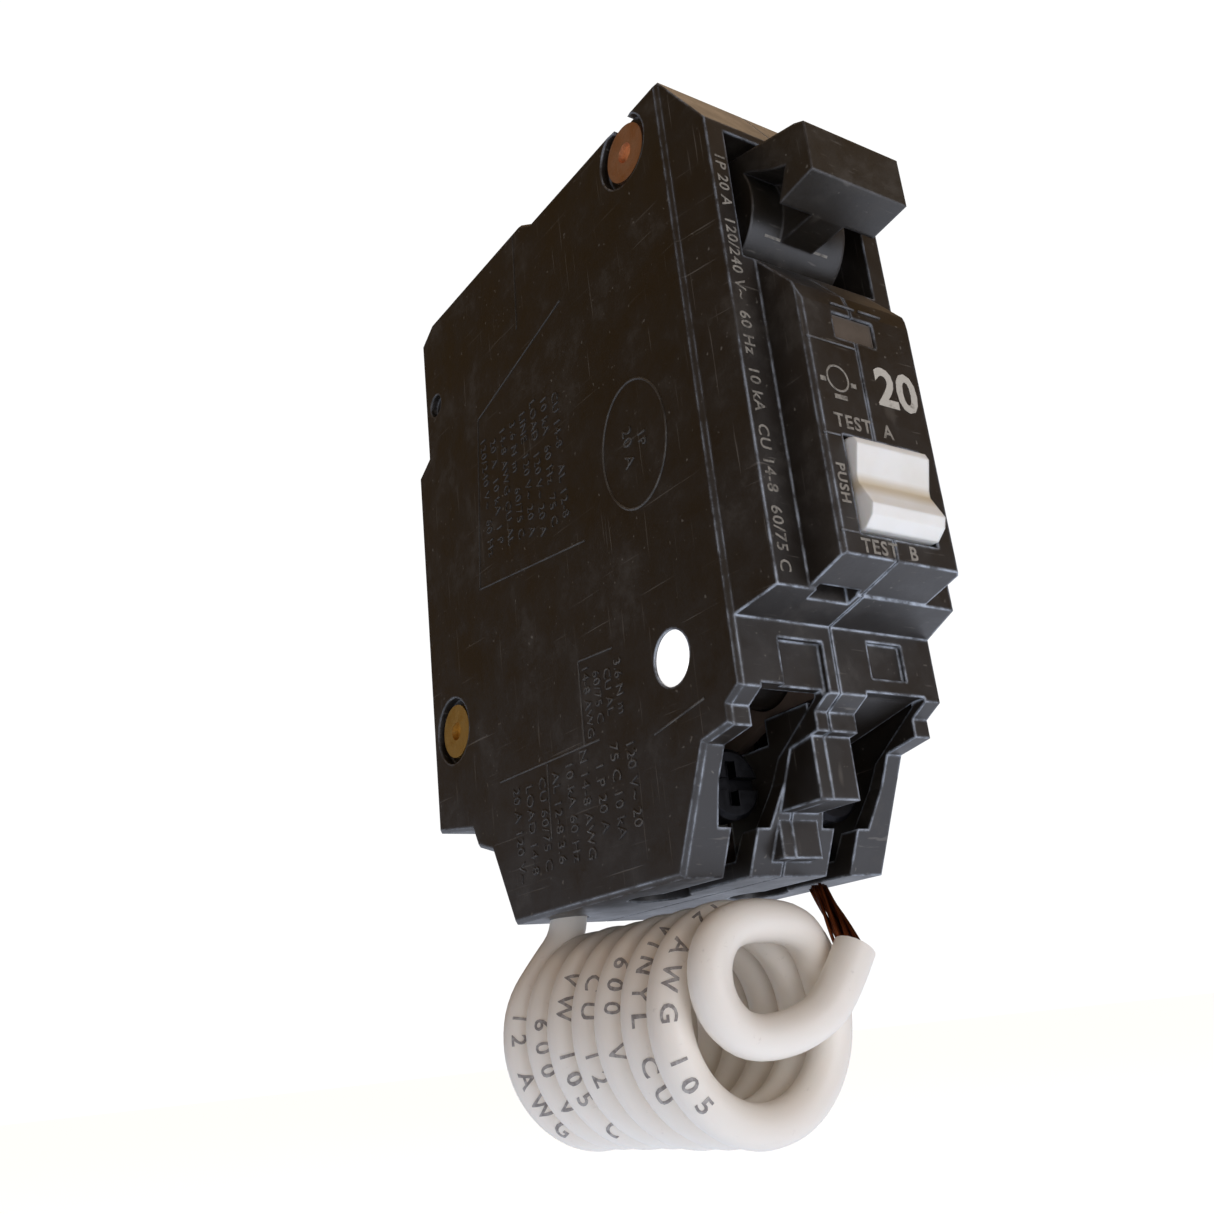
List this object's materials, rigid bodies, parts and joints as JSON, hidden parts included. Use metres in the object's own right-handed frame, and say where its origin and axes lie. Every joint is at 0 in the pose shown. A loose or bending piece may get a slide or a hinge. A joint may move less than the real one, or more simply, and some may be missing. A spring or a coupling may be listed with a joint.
{
  "type": "ground-fault circuit breaker",
  "caption": "Plug-in one-inch circuit breaker with toggle handle, two-way test rocker, screw terminals, line jaw, rail hook and a coiled white neutral lead.",
  "frame": {"origin": "middle of the back rest face, where the breaker sits on the panel's pan", "axes": "+X to the right seen from the front, +Y towards the panel's back, +Z towards the line end with the handle"},
  "size_m": [0.0291, 0.0709, 0.1038],
  "materials": {
    "phenolic": "moulded, satin",
    "handle_phenolic": "moulded, satin",
    "fibre": "pressed fibre",
    "copper_plated_steel": "spun rivet head",
    "steel": "bright",
    "spring_steel": "blued",
    "copper": "bare copper",
    "silver_alloy": "matt silver",
    "zinc_plated_steel": "zinc plated",
    "blackened_steel": "black oxide",
    "tinned_brass": "tin plated",
    "brass": "turned",
    "bimetal_strip": "rolled",
    "sensor_case": "moulded",
    "board_laminate": "solder mask",
    "varistor_coating": "dipped",
    "capacitor_sleeve": "shrink sleeve",
    "film_capacitor_case": "moulded",
    "chip_plastic": "moulded",
    "resistor_coating": "lacquered",
    "spring_bronze": "rolled",
    "coil_tape": "taped",
    "lens_plastic": "smoked, clear",
    "led_epoxy": "moulded",
    "rocker_nylon": "moulded",
    "sleeve_nylon": "moulded",
    "wire_insulation": "extruded vinyl"
  },
  "bodies": {
    "case": {"left_case": "phenolic", "right_case": "phenolic", "divider": "fibre", "rivets": "copper_plated_steel", "tie_sleeve": "sleeve_nylon", "handle_pin": "steel", "arm_pin": "steel", "line_jaw": "copper", "jaw_clip": "spring_steel", "fixed_contact": "silver_alloy", "arc_plates": "zinc_plated_steel", "arc_liner": "fibre", "cradle_pin": "steel", "bimetal": "bimetal_strip", "magnet_yoke": "zinc_plated_steel", "calibration_screw": "brass", "load_strap": "copper", "neutral_strap": "copper", "current_sensor": "sensor_case", "load_lug": "tinned_brass", "neutral_lug": "tinned_brass", "circuit_board": "board_laminate", "varistor": "varistor_coating", "capacitor": "capacitor_sleeve", "film_capacitor": "film_capacitor_case", "thyristor": "chip_plastic", "control_chip": "chip_plastic", "resistors": "resistor_coating", "test_contacts": "spring_bronze", "solenoid_frame": "zinc_plated_steel", "solenoid_coil": "coil_tape", "indicator_lens": "lens_plastic", "indicator_led": "led_epoxy", "rocker_pin": "steel", "rail_hook": "spring_steel", "braid": "copper", "pigtail_exit": "wire_insulation", "pigtail_coil": "wire_insulation", "pigtail_loop": "wire_insulation", "pigtail_strands": "copper"},
    "handle": {"handle": "handle_phenolic"},
    "contact_arm": {"contact_arm": "copper", "moving_contact": "silver_alloy"},
    "cradle": {"cradle": "zinc_plated_steel", "toggle_spring": "spring_steel"},
    "armature": {"armature": "zinc_plated_steel"},
    "plunger": {"plunger": "zinc_plated_steel"},
    "rocker": {"test_rocker": "rocker_nylon"},
    "load_clamp": {"load_clamp": "zinc_plated_steel"},
    "load_screw": {"load_screw": "blackened_steel"},
    "neutral_clamp": {"neutral_clamp": "zinc_plated_steel"},
    "neutral_screw": {"neutral_screw": "blackened_steel"}
  },
  "joints": [
    {"name": "handle_swing", "type": "hinge", "parent": "case", "child": "handle", "pos_m": [0, -0.0565, 0.02775], "axis": [1, 0, 0], "range_deg": [0, 30]},
    {"name": "arm_swing", "type": "hinge", "parent": "case", "child": "contact_arm", "pos_m": [0, -0.0455, 0.02775], "axis": [1, 0, 0], "range_deg": [-14, 0]},
    {"name": "cradle_trip", "type": "hinge", "parent": "case", "child": "cradle", "pos_m": [0, -0.038, 0.01745], "axis": [1, 0, 0], "range_deg": [-10, 0]},
    {"name": "armature_pull", "type": "hinge", "parent": "case", "child": "armature", "pos_m": [0, -0.0197, -0.005], "axis": [1, 0, 0], "range_deg": [-6, 0]},
    {"name": "plunger_slide", "type": "slide", "parent": "case", "child": "plunger", "axis": [0, 1, 0], "range_m": [0, 0.0016], "stiffness_N_per_m": 30, "springref_m": -0.0004},
    {"name": "rocker_tilt", "type": "hinge", "parent": "case", "child": "rocker", "pos_m": [0, -0.0648, -0.00595], "axis": [1, 0, 0], "range_deg": [-7, 7], "stiffness_Nm_per_rad": 0.01},
    {"name": "load_clamp_slide", "type": "slide", "parent": "case", "child": "load_clamp", "axis": [0, 1, 0], "range_m": [0, 0.0032]},
    {"name": "load_screw_turn", "type": "hinge", "parent": "load_clamp", "child": "load_screw", "pos_m": [-0.0064, -0.0415, -0.02825], "axis": [0, 1, 0], "range_deg": [0, 1441]},
    {"name": "neutral_clamp_slide", "type": "slide", "parent": "case", "child": "neutral_clamp", "axis": [0, 1, 0], "range_m": [0, 0.0032]},
    {"name": "neutral_screw_turn", "type": "hinge", "parent": "neutral_clamp", "child": "neutral_screw", "pos_m": [0.0064, -0.0415, -0.02825], "axis": [0, 1, 0], "range_deg": [0, 1441]}
  ],
  "couplings": [
    {"joint": "arm_swing", "follows": "handle_swing", "ratio": -0.46667},
    {"joint": "armature_pull", "follows": "cradle_trip", "ratio": 0.6},
    {"joint": "load_screw_turn", "follows": "load_clamp_slide", "rad_per_m": 7854},
    {"joint": "neutral_screw_turn", "follows": "neutral_clamp_slide", "rad_per_m": 7854}
  ]
}
